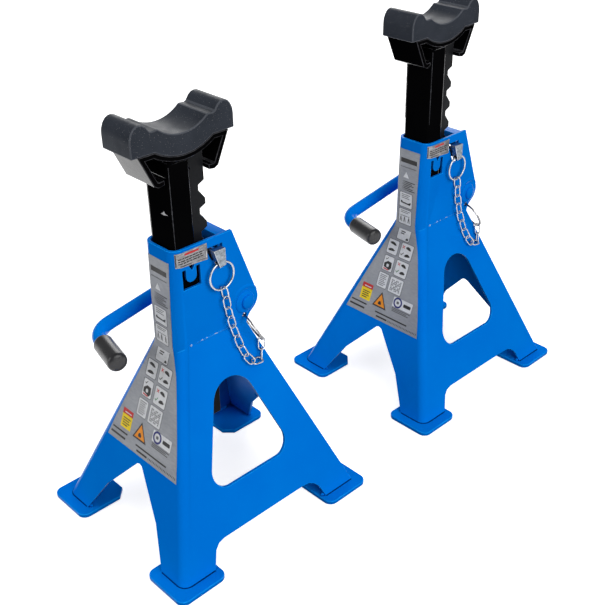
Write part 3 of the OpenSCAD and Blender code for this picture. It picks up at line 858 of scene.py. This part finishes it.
def strip(x0, y0, x1, y1, width):
    """A straight stroke with square ends."""
    d = unit((x1 - x0, y1 - y0)) * width / 2
    return [(x0 + d[1], y0 - d[0]), (x1 + d[1], y1 - d[0]), (x1 - d[1], y1 + d[0]), (x0 - d[1], y0 + d[0])]


def ring_shape(x, y, outer, inner, sides=28):
    """A ring as two half outlines, so that each stays one simple polygon."""
    halves = []
    for start in (0, math.pi):
        angles = [start + math.pi * i / sides for i in range(sides + 1)]
        halves.append(
            [(x + outer * math.cos(t), y + outer * math.sin(t)) for t in angles]
            + [(x + inner * math.cos(t), y + inner * math.sin(t)) for t in reversed(angles)]
        )
    return halves


class Print:
    """Flat printed shapes for a label, each (outline, colour, level)."""

    def __init__(self):
        self.shapes = []

    def add(self, outline, colour, level=0):
        self.shapes.append((outline, colour, level))

    def tile(self, x0, y0, x1, y1):
        self.add(round_box(x0 - 0.55, y0 - 0.55, x1 + 0.55, y1 + 0.55, 1.4), GREY, 0)
        self.add(round_box(x0, y0, x1, y1), WHITE, 1)

    def bars(self, x0, x1, top, count, gap, width, colour=None, level=2):
        lengths = (1.0, 0.82, 0.93, 0.7, 0.88)
        for i in range(count):
            y = top - i * gap
            end = x0 + (x1 - x0) * lengths[i % len(lengths)]
            self.add(strip(x0, y, end, y, width), GREY if colour is None else colour, level)

    def lump(self, x, y, w, h, tilt=0.0):
        c, k = math.cos(tilt), math.sin(tilt)
        shape = [
            (-0.5, -0.25), (-0.3, -0.5), (0.32, -0.5), (0.5, -0.2),
            (0.36, 0.1), (0.16, 0.5), (-0.2, 0.5), (-0.42, 0.15),
        ]
        turned = [(x + a * c * w - b * k * h, y + a * k * w + b * c * h) for a, b in shape]
        self.add(turned, DARK, 2)

    def stroke(self, x, y, size, ends, colour, level):
        x0, y0, x1, y1 = (size * e for e in ends)
        self.add(strip(x + x0, y + y0, x + x1, y + y1, 0.2 * size), colour, level)

    def tick(self, x, y, size, colour):
        self.stroke(x, y, size, (-0.5, 0, -0.1, -0.42), colour, 2)
        self.stroke(x, y, size, (-0.16, -0.42, 0.55, 0.5), colour, 3)

    def cross(self, x, y, size, colour):
        self.stroke(x, y, size, (-0.45, -0.45, 0.45, 0.45), colour, 2)
        self.stroke(x, y, size, (-0.45, 0.45, 0.45, -0.45), colour, 3)


def print_top(marks):
    """A plain band, a faint triangle and lines."""
    for x in range(-9, 9, 2):
        marks.add([(x, 212.6), (x + 2, 212.6), (x + 2, 216.6), (x, 216.6)], DARK, 1)
    marks.bars(-9.0, 8.6, 208.6, 1, 1.2, 0.7)
    marks.add([(-5.6, 199.0), (0.6, 199.0), (-2.5, 204.4)], WHITE, 1)
    marks.bars(-11.0, 7.6, 195.6, 6, 1.55, 0.75, DARK, 1)


def print_column_tiles(marks):
    """Three tiles down the column."""
    marks.tile(-8.6, 171.6, 5.2, 184.9)
    marks.bars(-6.6, 2.8, 183.2, 3, 1.6, 0.6)
    marks.add(strip(-6.8, 175.6, 3.4, 175.0, 1.3), DARK, 2)
    marks.add(strip(1.4, 175.4, 3.9, 176.6, 1.2), DARK, 3)
    marks.lump(-6.3, 176.2, 2.2, 2.0)
    marks.tile(-8.9, 155.4, 5.0, 169.3)
    marks.bars(-6.8, 3.6, 167.8, 2, 1.5, 0.6)
    for x in (-6.6, -2.4, 2.4):
        for sx in (-1, 1):
            marks.add(strip(x + sx * 0.9, 157.4, x, 162.4, 0.6), DARK, 3 if sx > 0 else 2)
    marks.add(strip(-7.4, 163.2, 3.4, 163.2, 0.5), GREY, 2)
    marks.tile(-7.6, 140.0, 6.2, 150.6)
    marks.bars(-4.6, 0.4, 147.6, 2, 1.8, 0.9, DARK)
    marks.add([(2.0, 140.9), (5.4, 140.9), (4.9, 142.6), (3.4, 142.9)], DARK, 2)


def print_slope_tiles(marks):
    """Three pairs of tiles on the slope."""
    marks.tile(-14.6, 124.6, -3.0, 137.6)
    marks.lump(-8.9, 134.4, 8.0, 2.4, -0.15)
    marks.lump(-9.3, 128.4, 8.0, 2.4, 0.1)
    marks.tile(0.2, 124.6, 13.6, 138.4)
    marks.tile(-14.3, 108.4, -3.4, 121.9)
    marks.tile(-0.1, 107.8, 13.6, 121.9)
    for y, good in ((131.4, DARK), (115.0, GREEN)):
        marks.cross(3.0, y + 3.6, 2.8, RED)
        marks.lump(8.6, y + 3.4, 6.4, 2.6, -0.2)
        marks.tick(2.8, y - 3.0, 3.0, good)
        marks.lump(8.8, y - 3.2, 6.4, 2.6, 0.15)
    marks.tick(-11.3, 119.3, 2.6, DARK)
    blob = [
        (-13.4, 114.6), (-9.6, 117.4), (-5.0, 116.8), (-4.4, 112.0),
        (-6.2, 109.6), (-9.4, 110.6), (-12.9, 111.2),
    ]
    marks.add(blob, DARK, 2)
    marks.add(round_box(-10.4, 111.8, -7.6, 114.8, 1.2), WHITE, 3)
    marks.add(strip(-12.8, 109.9, -7.0, 109.4, 1.0), RED, 3)
    marks.tile(-15.4, 92.0, -4.3, 105.4)
    marks.bars(-13.8, -5.9, 103.6, 7, 1.6, 0.65)
    marks.tile(-1.6, 91.6, 13.2, 105.6)
    for i in range(7):
        for j in range(7):
            if (i * 5 + j * 3 + i * j) % 3 != 1:
                x, y = 0.3 + i * 1.62, 93.4 + j * 1.52
                marks.add([(x, y), (x + 1.15, y), (x + 1.15, y + 1.05), (x, y + 1.05)], GREY, 2)


def print_plates(marks):
    """Coloured plates, a triangle, a ring and a plate at the lower right."""
    marks.add(round_box(-30.4, 74.9, -18.0, 86.2, 0.5), YELLOW, 1)
    marks.add(round_box(-30.4, 85.8, -18.0, 90.4, 0.5), RED, 1)
    marks.bars(-27.8, -19.8, 87.6, 1, 1.3, 0.8, WHITE, 2)
    marks.bars(-28.4, -19.6, 83.0, 4, 1.9, 0.8, DARK, 2)
    marks.add([(-14.2, 73.6), (2.4, 73.6), (-6.4, 88.4)], DARK, 0)
    marks.add([(-12.2, 74.9), (0.4, 74.9), (-6.3, 86.2)], ORANGE, 1)
    marks.lump(-6.2, 77.9, 4.0, 3.4)
    marks.add(round_box(7.6, 80.6, 29.6, 89.6, 0.8), WHITE, 1)
    for half in ring_shape(13.2, 85.2, 4.9, 3.3):
        marks.add(half, NAVY, 2)
    marks.add(round_box(11.8, 84.0, 14.6, 86.4, 0.8), GREY, 2)
    marks.add(round_box(19.8, 83.6, 28.2, 86.6, 0.8), DARK, 2)
    marks.bars(8.6, 29.4, 79.2, 3, 1.3, 0.55, DARK, 1)


def print_foot_lines(marks):
    """Plain lines and short strokes along the label's foot."""
    for x0, x1, y, width in (
        (-38.6, -20.0, 71.2, 1.3), (-39.6, -21.5, 67.0, 1.6), (-8.6, 29.0, 69.0, 1.3), (-6.4, 6.4, 65.4, 1.5)
    ):
        marks.bars(x0, x1, y, 1, 1.2, width, DARK, 1)
    for i in range(20):
        x = 8.4 + i * 1.7
        marks.add(strip(x, 64.6, x, 66.2, 0.6), DARK, 1)


def laid(shapes, surface, longest):
    """Thin slabs of print on a surface; a higher level stands a little prouder."""
    parts = []
    for outline, colour, level in shapes:
        verts, faces = slab(divided(outline, longest), surface, 0.2, 0.33 + 0.03 * level)
        parts.append((verts, faces, colour))
    return parts


def label_print(s):
    """Plain marks in place of lettering and signs: tiles with simple bars, blobs and strokes."""
    marks = Print()
    print_top(marks)
    print_column_tiles(marks)
    print_slope_tiles(marks)
    print_plates(marks)
    print_foot_lines(marks)

    def surface(u, v, h):
        return on_front(u + label_slide(s, v), v, h)

    s.piece("label_print", laid(marks.shapes, surface, 4.0), INKS, "frame", "label_grey", smooth=20)


def sticker(s):
    """The silver label on the column's side, with plain bars instead of words."""
    start = BEND_R - COLUMN_FRONT
    left, right, top = -26.2, 0.9, 231.6

    def surface(u, v, h):
        turn = max(0.0, start - u) / BEND_R
        radius = BEND_R + h
        x = COLUMN_X - BEND_R + radius * math.cos(turn)
        return (x, max(u, start) - radius * math.sin(turn), v)

    cuts = [(u, 220.8 - 1.9 * (u - left) / (right - left), top) for u in np.linspace(left, right, 28)]
    verts, faces = sheet(cuts, surface, 0.05, 0.3)
    foil = [(verts, faces, 0)]
    s.piece("sticker_foil", foil, [FOIL], "frame", "sticker_silver", smooth=20, replaces=["sticker"])
    marks = Print()
    marks.add(strip(-18.6, 229.6, -6.4, 229.6, 1.5), RED, 1)
    for line, end in enumerate((-2.2, -3.4, -2.8)):
        y = 227.0 - line * 1.75
        at = -24.0
        word = line
        while at < end:
            run = (2.6, 1.6, 3.4, 2.1)[word % 4]
            marks.add(strip(at, y, min(at + run, end + 0.3), y, 0.85), DARK, 1)
            at += run + 0.6
            word += 1
    for ends, width, colour in (
        ((-25.6, 221.6, -25.6, 230.9), 0.7, DARK),
        ((-22.6, 221.6, -13.0, 221.2), 0.6, DARK),
        ((-9.0, 221.0, -1.0, 220.4), 0.6, GREY),
        ((0.1, 220.6, 0.1, 225.4), 0.7, WHITE),
    ):
        marks.add(strip(*ends, width), colour, 1)
    s.piece("sticker_print", laid(marks.shapes, surface, 1.0), INKS, "frame", "sticker_silver", smooth=20)


def build(name):
    """All visual pieces of one stand."""
    s = Stand(name)
    refined(name, "shell", BLUE, "frame", 0.45, inside_shade=HOOD_SHADE)
    refined(name, "rear_plate", BLUE, "frame", 0.4)
    for part in ("foot_fl", "foot_fr", "foot_rl", "foot_rr"):
        refined(name, part, BLUE, "frame", 0.7, 3)
    for part in ("top_guide", "low_guide"):
        refined(name, part, BLUE, "frame", 0.4)
    refined(name, "post", BLACK, "ram", 0.35)
    refined(name, "rack", RACK_BLACK, "ram", 0.3)
    refined(name, "saddle", BLACK, "ram", 0.5)
    refined(name, "pad", PAD, "ram", 0.9, 3, 6e-5)
    refined(name, "pawl", PAWL_BLACK, "lever_arm", 0.4)
    refined(name, "key", ZINC, "safety_key", 0.4)
    lever(s)
    grip(s)
    key_ring(s)
    chain(s)
    split_ring(s)
    frame_welds(s)
    pressed_marks(s)
    ram_welds(s)
    tube_corner_glints(s)
    if name == "front":
        post_chip(s)
    label_plate(s)
    label_print(s)
    sticker(s)


for stand in ("front", "back"):
    build(stand)


# ---------------------------------------------------------------- floor, light, camera


def area_light(name, place, aim, size, power):
    """A square soft light of this size in metres and power in watts."""
    data = bpy.data.lights.new(name, "AREA")
    data.shape = "SQUARE"
    data.size = size
    data.energy = power
    lamp = bpy.data.objects.new(name, data)
    bpy.context.scene.collection.objects.link(lamp)
    lamp.location = place
    lamp.rotation_euler = (Vector(aim) - Vector(place)).to_track_quat("-Z", "Y").to_euler()


def floor():
    """A pale floor just below the feet, bright by itself so that it stays even."""
    k = Look("studio_floor", Roughness=0.9, Specular_IOR_Level=0.1)
    k.out.inputs["Base Color"].default_value = (0.95, 0.95, 0.95, 1)
    k.out.inputs["Emission Color"].default_value = (1, 1, 1, 1)
    k.out.inputs["Emission Strength"].default_value = 0.7
    mesh = bpy.data.meshes.new("floor")
    half = 60.0
    low = -0.0003
    corners = [(x * half, y * half, low) for x, y in ((-1, -1), (1, -1), (1, 1), (-1, 1))]
    mesh.from_pydata(corners, [], [(0, 1, 2, 3)])
    mesh.materials.append(k.mat)
    plane = bpy.data.objects.new("floor", mesh)
    bpy.context.scene.collection.objects.link(plane)
    plane.visible_diffuse = False


def sky():
    """A soft white sky that fades below the horizon."""
    under, above = 0.1, 0.42
    world = bpy.data.worlds.new("studio")
    world.use_nodes = True
    nodes, links = world.node_tree.nodes, world.node_tree.links
    place = nodes.new("ShaderNodeTexCoord")
    split = nodes.new("ShaderNodeSeparateXYZ")
    ramp = nodes.new("ShaderNodeMapRange")
    links.new(place.outputs["Generated"], split.inputs[0])
    links.new(split.outputs["Z"], ramp.inputs[0])
    for index, value in ((1, -0.25), (2, 0.25), (3, under), (4, above)):
        ramp.inputs[index].default_value = value
    links.new(ramp.outputs[0], nodes["Background"].inputs[1])
    nodes["Background"].inputs[0].default_value = (1, 1, 1, 1)
    bpy.context.scene.world = world


def camera():
    """The camera at the real picture's place and angle, with its small roll in degrees."""
    roll_angle = -1.0665
    data = bpy.data.cameras.new("camera")
    data.sensor_width = 36.0
    data.lens = 57.94
    data.clip_start, data.clip_end = 0.02, 60
    cam = bpy.data.objects.new("camera", data)
    bpy.context.scene.collection.objects.link(cam)
    cam.location = (0.50105, -0.4989, 0.5364)
    look = Vector((-0.62681, 0.59121, -0.50753)).to_track_quat("-Z", "Y")
    roll = Matrix.Rotation(math.radians(roll_angle), 3, "Z").to_quaternion()
    cam.rotation_mode = "QUATERNION"
    cam.rotation_quaternion = look @ roll
    bpy.context.scene.camera = cam


floor()
sky()
area_light("right_light", (1.0, -0.1, 0.7), (0, 0, 0.2), 0.9, 9.2)
area_light("left_light", (-0.6, -1.4, 0.7), (0, 0, 0.15), 0.9, 6.5)
area_light("back_light", (-1.5, 1.45, 1.3), (0, 0, 0.2), 1.3, 18)
camera()
view = bpy.context.scene.view_settings
view.view_transform = "Standard"
view.look = "None"
